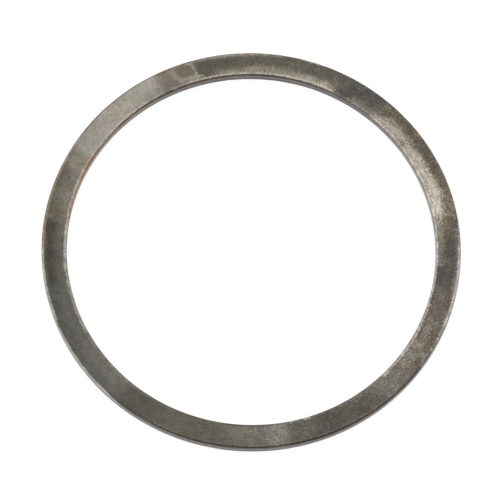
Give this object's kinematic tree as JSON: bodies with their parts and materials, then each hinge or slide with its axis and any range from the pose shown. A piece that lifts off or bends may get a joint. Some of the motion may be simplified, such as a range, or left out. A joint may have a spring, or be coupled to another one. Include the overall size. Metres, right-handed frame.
{
  "type": "washer",
  "caption": "Thin flat ring washer of plain rectangular section with rounded edges, worn dark steel, a spacer or thrust ring for a large shaft.",
  "frame": {"origin": "on the ring's axis, in the plane of its lower face", "axes": "+Z along the ring's axis, up out of the face that shows in the picture; -Y towards the picture's camera and +X to its right"},
  "size_m": [0.05, 0.05, 0.0015],
  "materials": {
    "steel": "bare steel, darkened and oil stained, mottled patina with worn bright edges and a little rust along the bore edge"
  },
  "bodies": {
    "root": {"washer": "steel"}
  },
  "joints": []
}
